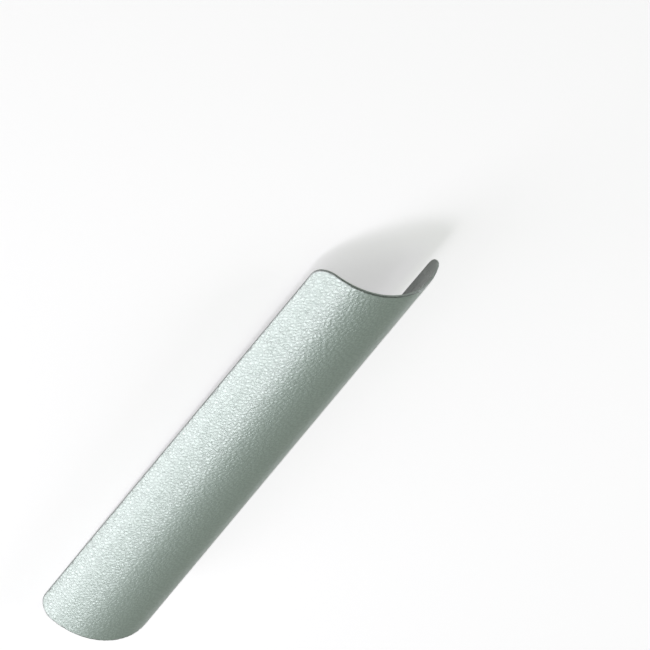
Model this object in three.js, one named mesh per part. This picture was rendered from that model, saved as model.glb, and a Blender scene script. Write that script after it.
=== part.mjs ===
// Bicycle frame protector: one die-cut, grained plastic film with an adhesive inner face.
// It is cut as a flat blank and keeps the round bend that it is stuck down in.
// Millimetres. +X runs along the bend towards the narrower, top end, +Z points out of the crown.
// The origin lies under the middle of the film, level with its lowest edge.

import * as THREE from "three";
import { mergeVertices } from "three/addons/utils/BufferGeometryUtils.js";

// Driving dimensions of the flat blank
const filmLength = 215;
const topWidth = 59;
const bottomWidth = 65.5;
const cornerRadius = 7;
const filmThickness = 0.8;
const rimBevel = 0.25;

// Driving dimension of the bend: the inside diameter of the adhesive face
const bendDiameter = 50.8;

// How finely the curves are faceted
const facetWidth = 1.5;
const halfCornerSteps = 4;

// Colour and finish of the film
const filmColour = 0xb4beb8;
const filmRoughness = 0.45;

// Worked-out sizes: the long edges flare by this angle, and the middle layer keeps its flat length
const flareAngle = Math.atan((bottomWidth - topWidth) / 2 / filmLength);
const bendRadius = bendDiameter / 2;
const middleRadius = bendRadius + filmThickness / 2;

// Anticlockwise outline through straight-sided corners, each rounded by an arc of one radius
function roundedOutline(corners, radius) {
  const shape = new THREE.Shape();
  corners.forEach((corner, i) => {
    const toLast = corners.at(i - 1).clone().sub(corner).normalize();
    const toNext = corners[(i + 1) % corners.length].clone().sub(corner).normalize();
    const halfCorner = Math.acos(toLast.dot(toNext)) / 2;
    const inward = toLast.clone().add(toNext).normalize();
    const centre = corner.clone().addScaledVector(inward, radius / Math.sin(halfCorner));
    const start = corner.clone().addScaledVector(toLast, radius / Math.tan(halfCorner)).sub(centre);
    const end = corner.clone().addScaledVector(toNext, radius / Math.tan(halfCorner)).sub(centre);
    shape.absarc(centre.x, centre.y, radius, start.angle(), end.angle(), false);
  });
  return shape.getPoints(halfCornerSteps);
}

// One loop round the flat blank, drawn inside its cut edge by inset, at a height above the adhesive face.
// In the flat blank x runs along it, y across it and z through its thickness.
function blankLoop(inset, height) {
  const end = filmLength / 2 - inset;
  const halfWidthAt = (x) => {
    const cutHalfWidth = (topWidth + bottomWidth) / 4 - x * Math.tan(flareAngle);
    return cutHalfWidth - inset / Math.cos(flareAngle);
  };
  const corners = [
    new THREE.Vector2(end, -halfWidthAt(end)),
    new THREE.Vector2(end, halfWidthAt(end)),
    new THREE.Vector2(-end, halfWidthAt(-end)),
    new THREE.Vector2(-end, -halfWidthAt(-end)),
  ];
  const outline = roundedOutline(corners, cornerRadius - inset);
  return outline.map((point) => new THREE.Vector3(point.x, point.y, height));
}

// The ring of flat walls between two loops, one above the other
function wallsBetween(lower, upper) {
  return lower.map((corner, i) => {
    const next = (i + 1) % lower.length;
    return [corner, lower[next], upper[next], upper[i]];
  });
}

// The point where an edge of the blank meets a fold line
function pointOnFold(first, second, fold) {
  const [near, far] = first.y < second.y ? [first, second] : [second, first];
  const point = near.clone().lerp(far, (fold - near.y) / (far.y - near.y));
  point.y = fold;
  return point;
}

// What is left of a flat face on one side of a fold line: side is 1 for beyond it, -1 for before it
function trimAtFold(face, fold, side) {
  const kept = [];
  face.forEach((point, i) => {
    const next = face[(i + 1) % face.length];
    const here = side * (point.y - fold);
    const there = side * (next.y - fold);
    if (here >= 0) kept.push(point);
    if (here * there < 0) kept.push(pointOnFold(point, next, fold));
  });
  return kept;
}

// Rolls a point of the blank round the bend, on the flat facet whose middle lies at facetMiddle.
// Every facet of the adhesive face touches the true cylinder along its middle line.
function rollPoint(point, facetMiddle) {
  const angle = point.y / middleRadius;
  const radius = (bendRadius + point.z) / Math.cos(angle - facetMiddle / middleRadius);
  return new THREE.Vector3(point.x, radius * Math.sin(angle), radius * Math.cos(angle));
}

// The film: the blank's faces are scored along equal folds, and each strip is rolled onto its facet
function makeFilm() {
  const adhesiveLoop = blankLoop(0, 0);
  const cutLoop = blankLoop(0, filmThickness - rimBevel);
  const outerLoop = blankLoop(rimBevel, filmThickness);
  const faces = [
    adhesiveLoop.toReversed(),
    ...wallsBetween(adhesiveLoop, cutLoop),
    ...wallsBetween(cutLoop, outerLoop),
    outerLoop,
  ];
  const facetsEachSide = Math.ceil(Math.max(topWidth, bottomWidth) / 2 / facetWidth);
  const triangles = [];
  for (let facet = -facetsEachSide; facet <= facetsEachSide; facet += 1) {
    const firstFold = (facet - 0.5) * facetWidth;
    const lastFold = (facet + 0.5) * facetWidth;
    for (const face of faces) {
      const strip = trimAtFold(trimAtFold(face, firstFold, 1), lastFold, -1);
      const rolled = strip.map((point) => rollPoint(point, facet * facetWidth));
      for (let i = 2; i < rolled.length; i += 1) {
        triangles.push(rolled[0], rolled[i - 1], rolled[i]);
      }
    }
  }
  const film = mergeVertices(new THREE.BufferGeometry().setFromPoints(triangles));
  film.computeBoundingBox();
  film.translate(0, 0, -film.boundingBox.min.z);
  return film;
}

const filmMaterial = new THREE.MeshStandardMaterial({
  color: filmColour,
  roughness: filmRoughness,
  metalness: 0,
});
const film = new THREE.Mesh(makeFilm(), filmMaterial);
film.name = "protector_film";

const protector = new THREE.Group();
protector.add(film);

export default protector;
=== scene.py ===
# %% [markdown]
# # A bicycle frame protector
# The real thing is one piece of thin plastic film with a leather grain on its outer face and adhesive on
# its inner face. It is cut flat by a die, and then pressed down round a bend, which it keeps here.
# The lesson follows the maker: cut the blank, press the grain into it, roll it, and then finish it.
# The plain solid gives the place and the outer size, and this script only gives the looks.

# %% Load the plain solid
import math

import bmesh
import bpy
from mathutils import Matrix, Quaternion, Vector


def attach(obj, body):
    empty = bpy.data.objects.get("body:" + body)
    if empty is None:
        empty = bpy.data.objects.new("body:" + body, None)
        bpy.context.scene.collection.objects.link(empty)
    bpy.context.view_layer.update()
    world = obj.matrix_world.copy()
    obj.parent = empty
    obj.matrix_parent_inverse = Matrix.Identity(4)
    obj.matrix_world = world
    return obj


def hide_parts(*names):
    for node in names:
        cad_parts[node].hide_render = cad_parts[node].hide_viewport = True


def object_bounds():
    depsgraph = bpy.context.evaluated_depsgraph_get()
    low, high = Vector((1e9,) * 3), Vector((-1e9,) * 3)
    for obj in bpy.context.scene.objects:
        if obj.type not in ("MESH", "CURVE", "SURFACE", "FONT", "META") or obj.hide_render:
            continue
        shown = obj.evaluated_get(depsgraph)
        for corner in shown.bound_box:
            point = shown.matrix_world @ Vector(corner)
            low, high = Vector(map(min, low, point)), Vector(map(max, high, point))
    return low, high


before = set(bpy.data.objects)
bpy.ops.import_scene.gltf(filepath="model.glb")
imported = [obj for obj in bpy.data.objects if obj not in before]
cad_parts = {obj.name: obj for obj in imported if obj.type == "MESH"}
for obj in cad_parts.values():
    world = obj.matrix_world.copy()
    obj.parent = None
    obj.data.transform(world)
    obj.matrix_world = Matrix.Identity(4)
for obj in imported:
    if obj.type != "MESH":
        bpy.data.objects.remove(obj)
solid_low, solid_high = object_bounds()
print("solids to dress:", list(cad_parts))
print("solid's box in metres:", solid_low, solid_high)

# %% [markdown]
# ## Sizes of the film
# The length and the height come from the solid's box, so the piece can't drift away from it. The rest are
# the sizes that the maker of the film would write on the drawing: two widths, because the film is a little
# wider at its lower end, one corner radius, one thickness, and the radius of the bend.

# %% Sizes of the film
MM = 0.001

film_length = solid_high.x - solid_low.x
film_thickness = 0.8 * MM
top_width = 59 * MM
bottom_width = 65.5 * MM
corner_radius = 7 * MM
rim_radius = 0.25 * MM
bend_radius = 25.4 * MM

middle_radius = bend_radius + film_thickness / 2
bend_axis_height = solid_high.z - film_thickness - bend_radius
flare = math.atan((bottom_width - top_width) / 2 / film_length)
mean_half_width = (top_width + bottom_width) / 4
print("flare of the long edges in degrees:", round(math.degrees(flare), 2))

# %% [markdown]
# ## The camera
# The photograph was taken with a long lens from well back, so the film's long edges stay nearly parallel.
# The camera is placed by what a photographer would set: a point to aim at, a distance, two angles and a
# roll. It is rolled far over, because the film's length runs aslant down the photograph. The sensor and
# the lens are written in millimetres, as Blender's camera wants them, and the rest is in metres.

# %% Camera
camera_aim = Vector((36.8, -26.5, -15.7)) * MM
camera_distance = 1.4015
camera_azimuth = math.radians(39.98)
camera_elevation = math.radians(24.34)
camera_roll = math.radians(155.32)
sensor_width = 36
focal_length = 232.6
farthest_seen = 20


def add_camera():
    data = bpy.data.cameras.new("photo_camera")
    data.sensor_width = sensor_width
    data.lens = focal_length
    data.clip_end = farthest_seen
    camera = bpy.data.objects.new("photo_camera", data)
    bpy.context.scene.collection.objects.link(camera)
    level = math.cos(camera_elevation)
    back = Vector((
        level * math.cos(camera_azimuth),
        level * math.sin(camera_azimuth),
        math.sin(camera_elevation),
    ))
    camera.location = camera_aim + back * camera_distance
    camera.rotation_mode = "QUATERNION"
    roll = Quaternion((0, 0, 1), camera_roll)
    camera.rotation_quaternion = back.to_track_quat("Z", "Y") @ roll
    bpy.context.scene.camera = camera
    return camera


camera = add_camera()
print("camera stands at:", camera.location)

# %% [markdown]
# ## The flat blank
# The outline has two straight ends, two long edges that flare, and four round corners. Each round corner is
# a run of short straight cuts, as many as the eye needs to see a curve. The same cuts, moved in a little,
# also score the lines that the rounded rim needs later.

# %% Outline of the blank
corner_cuts = 14
rim_lines = (0.09 * MM, rim_radius)


def half_width_at(x):
    return mean_half_width - x * math.tan(flare)


def corner_centre(end):
    """Centre of a round corner on the +Y side, at the top end (1) or the lower end (-1)"""
    x = end * (film_length / 2 - corner_radius)
    y = half_width_at(x) - corner_radius / math.cos(flare)
    return Vector((x, y, 0))


def corner_directions(end):
    """Outward directions of the cuts round one corner, from one straight edge to the other"""
    side = math.pi / 2 - flare
    first, last = (0, side) if end > 0 else (side, math.pi)
    angles = [first + (last - first) * i / corner_cuts for i in range(corner_cuts + 1)]
    return [Vector((math.cos(a), math.sin(a), 0)) for a in angles]


def on_side(vector, side):
    """The vector as it is (1), or mirrored to the -Y side (-1)"""
    return Vector((vector.x, vector.y * side, 0))


for end in (1, -1):
    print("corner centre in mm:", [round(value / MM, 2) for value in corner_centre(end)])

# %% [markdown]
# ## Cutting it out
# The pebbles of the grain are a little over a millimetre wide, so the outer face needs a mesh much finer
# than that. A subdivided rectangle could do, but then its edges would be ragged where the outline is round.
# So a grid is drawn in to the taper first, and the round corners are cut off it as a die would. The rim
# lines are cut in the same way, but without clearing anything. The operator gets only the faces near each
# cut, because it works through all that it is given.

# %% Cut the blank out
grid_pitch = 0.4 * MM
cut_reach = 2 * grid_pitch
cut_tolerance = 1e-6


def whole(faces):
    """The faces with their edges and corners, as the cutting operator wants them"""
    edges = dict.fromkeys(e for f in faces for e in f.edges)
    verts = dict.fromkeys(v for f in faces for v in f.verts)
    return [*verts, *edges, *faces]


def cut_across(bm, geometry, point, outward, clear=False):
    """Cuts the geometry with a plane through a point, and can clear what lies outward of it"""
    cut = bmesh.ops.bisect_plane(
        bm, geom=geometry, dist=cut_tolerance, plane_co=point, plane_no=outward, clear_outer=clear
    )
    return cut["geom"]


def make_grid():
    bm = bmesh.new()
    columns = round(film_length / grid_pitch)
    rows = round(bottom_width / grid_pitch)
    bmesh.ops.create_grid(bm, x_segments=columns, y_segments=rows, size=0.5)
    for v in bm.verts:
        x = v.co.x * film_length
        v.co = Vector((x, v.co.y * 2 * half_width_at(x), 0))
    return bm


def cut_corner(bm, end, side):
    """Rounds one corner and scores its rim lines"""
    centre = on_side(corner_centre(end), side)
    reach = corner_radius + cut_reach
    near = []
    for f in bm.faces:
        away = f.verts[0].co - centre
        if abs(away.x) < reach and abs(away.y) < reach:
            near.append(f)
    geometry = whole(near)
    for inset in (0, *rim_lines):
        for direction in corner_directions(end):
            outward = on_side(direction, side)
            point = centre + outward * (corner_radius - inset)
            geometry = cut_across(bm, geometry, point, outward, clear=inset == 0)


def score_edges(bm):
    """Scores the rim lines along the two ends and the two long edges"""
    top_end, long_edge = corner_directions(1)[0], corner_directions(1)[-1]
    lower_end = corner_directions(-1)[-1]
    straight = ((1, 1, top_end), (1, 1, long_edge), (1, -1, long_edge), (-1, 1, lower_end))
    for end, side, direction in straight:
        outward = on_side(direction, side)
        edge = on_side(corner_centre(end), side) + outward * corner_radius
        near = [f for f in bm.faces if (f.verts[0].co - edge).dot(outward) > -cut_reach]
        geometry = whole(near)
        for inset in rim_lines:
            geometry = cut_across(bm, geometry, edge - outward * inset, outward)


blank = make_grid()
for end in (1, -1):
    for side in (1, -1):
        cut_corner(blank, end, side)
score_edges(blank)
print("faces of the cut blank:", len(blank.faces))

# %% [markdown]
# ## Walls and adhesive face
# The blank is only a sheet so far. Its cut edge is extruded down by the film's thickness and closed with
# one flat face. The adhesive face is smooth, so it needs few faces: it is scored into strips, which the
# bend then turns into a smooth hollow.

# %% Close the blank
GRAINED, CUT_EDGE, ADHESIVE = range(3)
strip_width = 1.5 * MM
strip_length = 20 * MM


def score_across(bm, faces, step, reach, along):
    """Scores flat faces into equal strips, with cuts that stand across a direction"""
    geometry = whole(faces)
    lines = math.floor(reach / step)
    for i in range(-lines, lines + 1):
        geometry = cut_across(bm, geometry, along * (i * step), along)
    return [g for g in geometry if isinstance(g, bmesh.types.BMFace)]


def close_blank(bm):
    rim = [e for e in bm.edges if e.is_boundary]
    wall = bmesh.ops.extrude_edge_only(bm, edges=rim)["geom"]
    for v in wall:
        if isinstance(v, bmesh.types.BMVert):
            v.co.z = -film_thickness
    for f in wall:
        if isinstance(f, bmesh.types.BMFace):
            f.material_index = CUT_EDGE
    foot = [e for e in wall if isinstance(e, bmesh.types.BMEdge) and e.is_boundary]
    floor_face = bmesh.ops.edgeloop_fill(bm, edges=foot)["faces"][0]
    floor_face.material_index = ADHESIVE
    for e in foot:
        e.smooth = False
    strips = score_across(bm, [floor_face], strip_width, bottom_width / 2, Vector((0, 1, 0)))
    score_across(bm, strips, strip_length, film_length / 2, Vector((1, 0, 0)))
    bmesh.ops.recalc_face_normals(bm, faces=bm.faces)


close_blank(blank)
print("open edges:", sum(e.is_boundary for e in blank.edges))
print("volume in cubic mm:", round(blank.calc_volume() / MM**3))

# %% [markdown]
# ## Working with nodes
# Patterns in Blender are chains of nodes. A chain is long to write out, so each kind of node that the film
# needs gets a short function here. Each one adds a node to a tree and gives back what comes out of it. Its
# values are numbers, or what came out of an earlier node, and feed tells the two apart.

# %% Short ways to add nodes
usual_noise = (0.3, 0.7)


def link(tree, output, target):
    tree.links.new(output, target)


def feed(tree, sockets, values):
    """Gives each socket its value, which is plain numbers or another node's socket"""
    for socket, value in zip(sockets, values):
        if isinstance(value, bpy.types.NodeSocket):
            link(tree, value, socket)
        else:
            socket.default_value = value


def calculate(tree, operation, *values):
    """Works with single numbers"""
    node = tree.nodes.new("ShaderNodeMath")
    node.operation = operation
    feed(tree, node.inputs, values)
    return node.outputs[0]


def combine(tree, operation, *values):
    """Works with places, each of three numbers"""
    node = tree.nodes.new("ShaderNodeVectorMath")
    node.operation = operation
    feed(tree, node.inputs, values)
    return node.outputs[0]


def noise(tree, place, size, detail=2.0):
    """A node of soft random values, mostly 0.3 to 0.7, that change over about this size on the blank"""
    node = tree.nodes.new("ShaderNodeTexNoise")
    node.noise_dimensions = "2D"
    node.inputs["Scale"].default_value = 1 / size
    node.inputs["Detail"].default_value = detail
    link(tree, place, node.inputs["Vector"])
    return node


def remap(tree, value, low, high, to_low, to_high, smooth=False):
    """Stretches one range of values to another, and holds what lies outside it at its ends"""
    node = tree.nodes.new("ShaderNodeMapRange")
    node.interpolation_type = "SMOOTHSTEP" if smooth else "LINEAR"
    feed(tree, node.inputs, (value, low, high, to_low, to_high))
    return node.outputs[0]


print("noise lies mostly between:", *usual_noise)

# %% [markdown]
# ## The leather grain
# The grain is embossed: close, rounded pebbles with narrow creases between them. The pebbles are longer than
# wide, and they lie askew to the film's length, as on leather that was cut without regard to its grain.
# The grain could be a bump in the material alone, but then the mesh would be bare. So one chain of nodes
# describes its height, and it is used twice. A geometry tree works it out at every vertex, and that moves
# the mesh. The same chain in the material works it out again at every point, and the bump adds only what
# the mesh is too coarse to hold.
#
# The pebbles are the cells of a Voronoi pattern. A soft noise makes their sides wander, a second one makes
# some creases shallower than others, as where skin folds, and a third one, very fine, keeps their tops from
# being too clean. Crease width and the fine noise are shares: of a pebble's width, and of the grain's depth.

# %% Height of the grain
grain_depth = 0.11 * MM
pebble_width = 1.17 * MM
pebble_length = 1.8 * MM
pebble_turn = math.radians(-38)
crease_width = 0.36
wander_size = 1.3 * MM
wander_distance = 0.9 * MM
fold_size = 2.6 * MM
fold_noise = (0.35, 0.65)
shallow_crease = 0.75
fine_size = 0.35 * MM
fine_detail = 1.0
fine_share = 0.08
noise_middle = (0.5, 0.5, 0.5)


def wander(tree, place, size, distance):
    """Shifts places by a soft noise, so that the pebbles lose their straight sides"""
    drift = combine(tree, "SUBTRACT", noise(tree, place, size).outputs["Color"], noise_middle)
    return combine(tree, "MULTIPLY_ADD", drift, (distance, distance, 0), place)


def turn(tree, place, angle):
    """Turns places about the middle of the flat blank"""
    node = tree.nodes.new("ShaderNodeVectorRotate")
    node.rotation_type = "Z_AXIS"
    node.inputs["Angle"].default_value = angle
    link(tree, place, node.inputs["Vector"])
    return node.outputs[0]


def pebbles(tree, place):
    """0 at the bottom of the creases and 1 on top of the pebbles"""
    moved = wander(tree, place, wander_size, wander_distance)
    moved = turn(tree, moved, -pebble_turn)
    moved = combine(tree, "MULTIPLY", moved, (pebble_width / pebble_length, 1, 1))
    cells = tree.nodes.new("ShaderNodeTexVoronoi")
    cells.voronoi_dimensions = "2D"
    cells.feature = "DISTANCE_TO_EDGE"
    cells.inputs["Scale"].default_value = 1 / pebble_width
    link(tree, moved, cells.inputs["Vector"])
    return remap(tree, cells.outputs["Distance"], 0, crease_width, 0, 1, smooth=True)


def grain_height(tree, place):
    """Adds the nodes of the grain to a tree, and returns its height in metres, at most the grain's depth"""
    crease = calculate(tree, "SUBTRACT", 1, pebbles(tree, place))
    fold = noise(tree, place, fold_size).outputs[0]
    crease = calculate(tree, "MULTIPLY", crease, remap(tree, fold, *fold_noise, shallow_crease, 1))
    fine = noise(tree, place, fine_size, fine_detail).outputs[0]
    fine = remap(tree, fine, *usual_noise, 0, fine_share)
    height = calculate(tree, "SUBTRACT", calculate(tree, "SUBTRACT", 1, crease), fine)
    return calculate(tree, "MULTIPLY", height, grain_depth)


print("pebbles across the top end, about:", round(top_width / pebble_width))

# %% [markdown]
# The geometry tree only stores the height at each vertex under a name. The mesh is read back with it, and
# the tree is thrown away, because a finished piece should hold a plain mesh.

# %% Work the grain out on the blank
def relief_tree():
    tree = bpy.data.node_groups.new("leather_relief", "GeometryNodeTree")
    for way in ("INPUT", "OUTPUT"):
        tree.interface.new_socket("Geometry", in_out=way, socket_type="NodeSocketGeometry")
    taken = tree.nodes.new("NodeGroupInput")
    given = tree.nodes.new("NodeGroupOutput")
    place = tree.nodes.new("GeometryNodeInputPosition")
    store = tree.nodes.new("GeometryNodeStoreNamedAttribute")
    store.data_type = "FLOAT"
    store.inputs["Name"].default_value = "relief"
    link(tree, taken.outputs[0], store.inputs["Geometry"])
    link(tree, grain_height(tree, place.outputs[0]), store.inputs["Value"])
    link(tree, store.outputs[0], given.inputs[0])
    return tree


def with_relief(bm):
    """A mesh of the blank, with the grain's height stored at each vertex"""
    flat = bpy.data.meshes.new("flat_blank")
    bm.to_mesh(flat)
    bm.free()
    carrier = bpy.data.objects.new("flat_blank", flat)
    bpy.context.scene.collection.objects.link(carrier)
    modifier = carrier.modifiers.new("relief", "NODES")
    modifier.node_group = relief_tree()
    ready = carrier.evaluated_get(bpy.context.evaluated_depsgraph_get())
    mesh = bpy.data.meshes.new_from_object(ready)
    tree = modifier.node_group
    bpy.data.objects.remove(carrier)
    bpy.data.meshes.remove(flat)
    bpy.data.node_groups.remove(tree)
    return mesh


film_mesh = with_relief(blank)
heights = [stored.value for stored in film_mesh.attributes["relief"].data]
print("relief in mm, lowest, mean, highest:", [
    round(h / MM, 3) for h in (min(heights), sum(heights) / len(heights), max(heights))
])

# %% [markdown]
# ## Rolling the film
# Now every vertex gets its height and goes round the bend. The middle of the film keeps its flat length,
# the outer face stretches a little, and the adhesive face is squeezed, as in real film. The rim is rounded
# on the way: near the cut edge the outer face drops along a quarter circle. Each vertex keeps its flat
# place in an attribute, so the grain in the material follows the film and not the room.

# %% Roll the film
def nearest_edge(x, y):
    """How far a place on the blank lies inside the cut edge, and the direction out to that edge"""
    end = 1 if x > 0 else -1
    side = 1 if y > 0 else -1
    place = Vector((x, abs(y), 0)) - corner_centre(end)
    across_long_edge = Vector((math.sin(flare), math.cos(flare), 0))
    past_end = place.x * end
    past_side = place.dot(across_long_edge)
    if past_end > 0 and past_side > 0:
        past, outward = place.length, place.normalized()
    elif past_end > past_side:
        past, outward = past_end, Vector((end, 0, 0))
    else:
        past, outward = past_side, across_long_edge
    return corner_radius - past, on_side(outward, side)


def rim_drop(inside):
    """How far the outer face has dropped at this distance inside the cut edge"""
    short = max(0, rim_radius - max(0, inside))
    return rim_radius - math.sqrt(rim_radius**2 - short**2)


def rolled(x, y, height):
    """Where a place of the blank lies on the bend, at a height above the adhesive face"""
    angle = y / middle_radius
    radius = bend_radius + height
    return (x, radius * math.sin(angle), bend_axis_height + radius * math.cos(angle))


def roll_film(mesh):
    mesh.attributes.new("flat_place", "FLOAT_VECTOR", "POINT")
    mesh.attributes.new("from_edge", "FLOAT", "POINT")
    flat, from_edge, relief = [
        mesh.attributes[name] for name in ("flat_place", "from_edge", "relief")
    ]
    for i, v in enumerate(mesh.vertices):
        x, y, below = v.co
        inside = nearest_edge(x, y)[0]
        flat.data[i].vector = (x, y, below)
        from_edge.data[i].value = inside
        height = film_thickness + below
        if below > -film_thickness / 2:
            height -= rim_drop(inside) + grain_depth - relief.data[i].value
        v.co = rolled(x, y, height)


roll_film(film_mesh)
levels = [v.co.z / MM for v in film_mesh.vertices]
print("the rolled film's lowest and highest place in mm:", round(min(levels), 2), round(max(levels), 2))

# %% [markdown]
# ## Laying the faces out flat
# A picture of the film's colours needs every face to have its own place on a square sheet. The film comes
# from a flat blank, so that is simple: the outer face lies as it was cut, the cut edge is folded out round
# it, and the adhesive face lies beside it, turned over. The outer face gets the larger share of the sheet's
# width, because it has the grain.

# %% Lay the faces out
sheet_border = 2 * MM
sheet_length = film_length + 2 * sheet_border
sheet_middle = 0.5
outer_middle, outer_share = 0.33, 0.62
adhesive_middle, adhesive_share = 0.82, 0.32


def lay_out(mesh):
    flat = mesh.attributes["flat_place"].data
    sheet = mesh.uv_layers.new(name="OFBake").data
    for polygon in mesh.polygons:
        for loop in polygon.loop_indices:
            x, y, below = flat[mesh.loops[loop].vertex_index].vector
            if polygon.material_index == CUT_EDGE:
                outward = nearest_edge(x, y)[1]
                x -= outward.x * below
                y -= outward.y * below
            if polygon.material_index == ADHESIVE:
                across = adhesive_middle - y / bottom_width * adhesive_share
            else:
                across = outer_middle + y / bottom_width * outer_share
            sheet[loop].uv = (sheet_middle + x / sheet_length, across)
    lengthwise = [corner.uv.x for corner in sheet]
    crosswise = [corner.uv.y for corner in sheet]
    print("the sheet is used lengthwise from and to:", min(lengthwise), max(lengthwise))
    print("and crosswise from and to:", min(crosswise), max(crosswise))


lay_out(film_mesh)
film_mesh.name = "grained_film"
film = bpy.data.objects.new("grained_film", film_mesh)
bpy.context.scene.collection.objects.link(film)
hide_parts("protector_film")
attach(film, "root")
film_mesh.calc_loop_triangles()
print("triangles:", len(film_mesh.loop_triangles))

# %% [markdown]
# ## Finishes
# Each finish is one Principled shader. What differs from place to place on the film, such as its colour,
# is blended by a pattern. The patterns read the flat place that each vertex kept, not the place in the
# room, so they bend with the film.

# %% Helpers for the finishes
def new_finish(name):
    material = bpy.data.materials.new(name)
    material.use_nodes = True
    shader = material.node_tree.nodes["Principled BSDF"]
    return material, material.node_tree, shader


def blend_colours(tree, share, first, second):
    """Mixes two colours. The mix node has its two sockets for colours in places 6 and 7."""
    node = tree.nodes.new("ShaderNodeMix")
    node.data_type = "RGBA"
    feed(tree, (node.inputs["Factor"], *node.inputs[6:8]), (share, first, second))
    return node.outputs[2]


def read_attribute(tree, name):
    node = tree.nodes.new("ShaderNodeAttribute")
    node.attribute_name = name
    return node


def flat_place(tree):
    return read_attribute(tree, "flat_place").outputs["Vector"]


print("each vertex keeps:", [a.name for a in film_mesh.attributes if a.domain == "POINT"])

# %% [markdown]
# ## The grained face
# The outer face is a satin film with a pearly, silver-grey look that leans to green. It is part metal and
# part plastic in the shader, under a clear coat, as metallised film is. The creases are a little darker and
# duller than the pebbles' tops; their darker colour is painted shade. A thin dark line of painted shadow
# follows the cut edge, and a noise makes it wider in places. The bump gets the height that the mesh doesn't
# hold yet, in real metres, so its strength and distance are both 1.

# %% The grained face
# The crease colour is painted shade: the deeper the grain, the darker it is.
crease_shade_colour = (0.39, 0.47, 0.42, 1)
pebble_colour = (0.49, 0.58, 0.52, 1)
# Colour of a thin line of painted shadow along the cut edge, which a noise widens in places.
edge_shadow_colour = (0.16, 0.19, 0.17, 1)
crease_roughness = 0.5
pebble_roughness = 0.4
film_sheen = {
    "Metallic": 0.4,
    "Specular IOR Level": 0.8,
    "Coat Weight": 1,
    "Coat Roughness": 0.36,
    "Coat IOR": 1.8,
}
line_width = 0.65 * MM
line_core = 0.5
shadow_wide_width = 1.2 * MM
shadow_widening_size = 2.2 * MM
shadow_widening_detail = 3.0
shadow_widening_noise = (0.55, 0.72)


def painted_edge_shadow(tree, place):
    """0 at the cut edge and 1 on the film: a thin line of painted shadow along the cut edge, which a noise
    widens in places
    """
    inside = read_attribute(tree, "from_edge").outputs["Fac"]
    shadow_widening = noise(tree, place, shadow_widening_size, shadow_widening_detail).outputs[0]
    width = remap(tree, shadow_widening, *shadow_widening_noise, line_width, shadow_wide_width)
    return remap(tree, calculate(tree, "DIVIDE", inside, width), line_core, 1, 0, 1, smooth=True)


def grained_finish():
    material, tree, shader = new_finish("leather_grain")
    place = flat_place(tree)
    held = read_attribute(tree, "relief").outputs["Fac"]
    height = grain_height(tree, place)
    share = calculate(tree, "DIVIDE", height, grain_depth)
    # Painted shade: the colour darkens towards the bottom of the creases.
    colour = blend_colours(tree, share, crease_shade_colour, pebble_colour)
    # A thin line of painted shadow along the cut edge is laid over the grain's colours.
    colour = blend_colours(tree, painted_edge_shadow(tree, place), edge_shadow_colour, colour)
    link(tree, colour, shader.inputs["Base Color"])
    roughness = remap(tree, share, 0, 1, crease_roughness, pebble_roughness)
    link(tree, roughness, shader.inputs["Roughness"])
    for name, value in film_sheen.items():
        shader.inputs[name].default_value = value
    bump = tree.nodes.new("ShaderNodeBump")
    bump.inputs["Strength"].default_value = 1
    bump.inputs["Distance"].default_value = 1
    link(tree, calculate(tree, "SUBTRACT", height, held), bump.inputs["Height"])
    link(tree, bump.outputs[0], shader.inputs["Normal"])
    return material


grained = grained_finish()
print("nodes in the grained finish:", len(grained.node_tree.nodes))

# %% [markdown]
# ## The cut edge and the adhesive face
# The cut edge is plain plastic, with a fine speckle where the blade went through. The adhesive face is smooth
# and glossy, with faint clouds in it, because adhesive never lies quite even.

# %% The cut edge and the adhesive face
cut_dark, cut_pale = (0.46, 0.52, 0.48, 1), (0.55, 0.61, 0.57, 1)
cut_speckle = 0.5 * MM
cut_roughness = 0.45
adhesive_dark, adhesive_pale = (0.50, 0.53, 0.51, 1), (0.58, 0.61, 0.59, 1)
adhesive_cloud = 9 * MM
adhesive_roughness = (0.22, 0.34)


def cut_edge_finish():
    material, tree, shader = new_finish("cut_edge")
    speckle = noise(tree, flat_place(tree), cut_speckle).outputs[0]
    link(tree, blend_colours(tree, speckle, cut_dark, cut_pale), shader.inputs["Base Color"])
    shader.inputs["Roughness"].default_value = cut_roughness
    return material


def adhesive_finish():
    material, tree, shader = new_finish("adhesive_face")
    cloud = noise(tree, flat_place(tree), adhesive_cloud).outputs[0]
    link(tree, blend_colours(tree, cloud, adhesive_dark, adhesive_pale), shader.inputs["Base Color"])
    roughness = remap(tree, cloud, *usual_noise, *adhesive_roughness)
    link(tree, roughness, shader.inputs["Roughness"])
    return material


finishes = {GRAINED: grained, CUT_EDGE: cut_edge_finish(), ADHESIVE: adhesive_finish()}
for index in sorted(finishes):
    film_mesh.materials.append(finishes[index])
for polygon in film_mesh.polygons:
    polygon.use_smooth = True
print("finishes of the film:", [material.name for material in film_mesh.materials])

# %% [markdown]
# ## The floor
# The floor is plain and pale, and it has to be white in the picture without stronger lamps on the film. So
# it glows, but only for rays that come from the camera, and less for mirrored rays, so that the film's
# sheen shows a pale floor too. The rest of its white is the lamps' own light, which keeps the soft shadow.

# %% Floor
floor_half_side = 4
floor_colour = (0.82, 0.8, 0.81, 1)
floor_roughness = 0.9
floor_glow = 0.51
mirrored_glow = 0.3
white = (1, 1, 1, 1)


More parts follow.
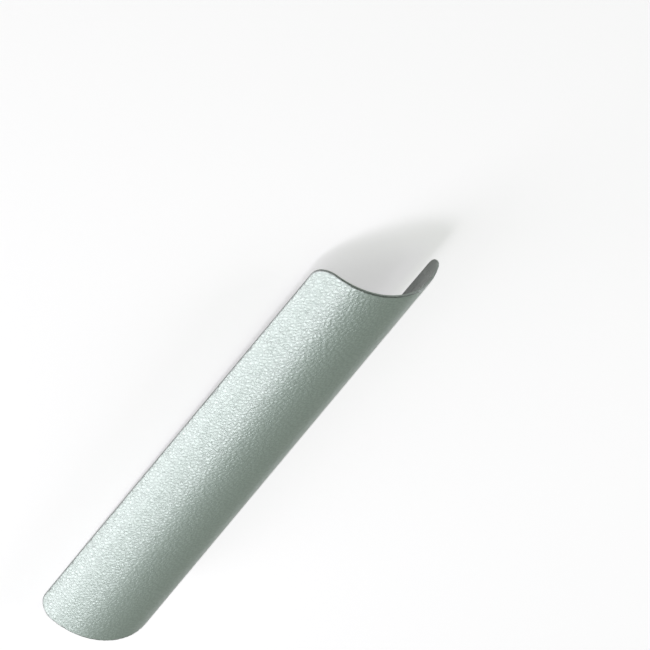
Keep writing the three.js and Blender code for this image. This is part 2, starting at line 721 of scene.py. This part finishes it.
def add_floor():
    bm = bmesh.new()
    bmesh.ops.create_grid(bm, x_segments=1, y_segments=1, size=floor_half_side)
    mesh = bpy.data.meshes.new("floor")
    bm.to_mesh(mesh)
    bm.free()
    floor = bpy.data.objects.new("floor", mesh)
    bpy.context.scene.collection.objects.link(floor)
    material, tree, shader = new_finish("pale_floor")
    shader.inputs["Base Color"].default_value = floor_colour
    shader.inputs["Roughness"].default_value = floor_roughness
    rays = tree.nodes.new("ShaderNodeLightPath").outputs
    seen = calculate(tree, "MAXIMUM", rays["Is Camera Ray"], rays["Is Transmission Ray"])
    seen = calculate(tree, "MULTIPLY", seen, floor_glow)
    mirrored = calculate(tree, "MULTIPLY", rays["Is Glossy Ray"], mirrored_glow)
    shader.inputs["Emission Color"].default_value = white
    link(tree, calculate(tree, "ADD", seen, mirrored), shader.inputs["Emission Strength"])
    mesh.materials.append(material)
    return floor


floor = add_floor()
print("floor's side in metres:", floor.dimensions.x)

# %% [markdown]
# ## Light
# The photograph's film is bright on the flank that faces the camera, darkest over its crown and lighter
# again at its far edge. So a long soft lamp stands low on the near side. Two smaller ones hang above it and
# light the turn towards the crown, where the grain shows most. A fill on the far side lights the other
# flank. The room is dim and leans to green, because the darkest zone does.

# %% Lamps and room
lamp_distance = 1.2
lamp_colour = (1.0, 0.97, 1.05)
room_colour = (0.87, 1.0, 0.82, 1)
room_strength = 0.2


def add_lamp(name, direction, width, height, power):
    """A soft rectangular lamp that looks at the middle of the film"""
    data = bpy.data.lights.new(name, "AREA")
    data.shape = "RECTANGLE"
    data.size = width
    data.size_y = height
    data.energy = power
    data.color = lamp_colour
    lamp = bpy.data.objects.new(name, data)
    bpy.context.scene.collection.objects.link(lamp)
    toward = Vector(direction).normalized()
    lamp.location = toward * lamp_distance
    lamp.rotation_mode = "QUATERNION"
    lamp.rotation_quaternion = toward.to_track_quat("Z", "Y")


def add_room():
    world = bpy.data.worlds.new("dim_room")
    bpy.context.scene.world = world
    world.use_nodes = True
    background = world.node_tree.nodes["Background"]
    background.inputs["Color"].default_value = room_colour
    background.inputs["Strength"].default_value = room_strength


add_lamp("near_side_softbox", (-0.45, 0.80, 0.22), width=1.4, height=0.5, power=7.7)
add_lamp("upper_softbox", (-0.40, 0.60, 0.60), width=0.8, height=0.4, power=2.8)
add_lamp("shoulder_softbox", (-0.50, 0.42, 0.70), width=0.5, height=0.3, power=2.5)
add_lamp("far_side_fill", (0.15, -0.95, 0.20), width=1.4, height=0.5, power=6.8)
add_room()
bpy.context.scene.view_settings.view_transform = "Standard"
print("lamps in watts:", {data.name: round(data.energy, 1) for data in bpy.data.lights})
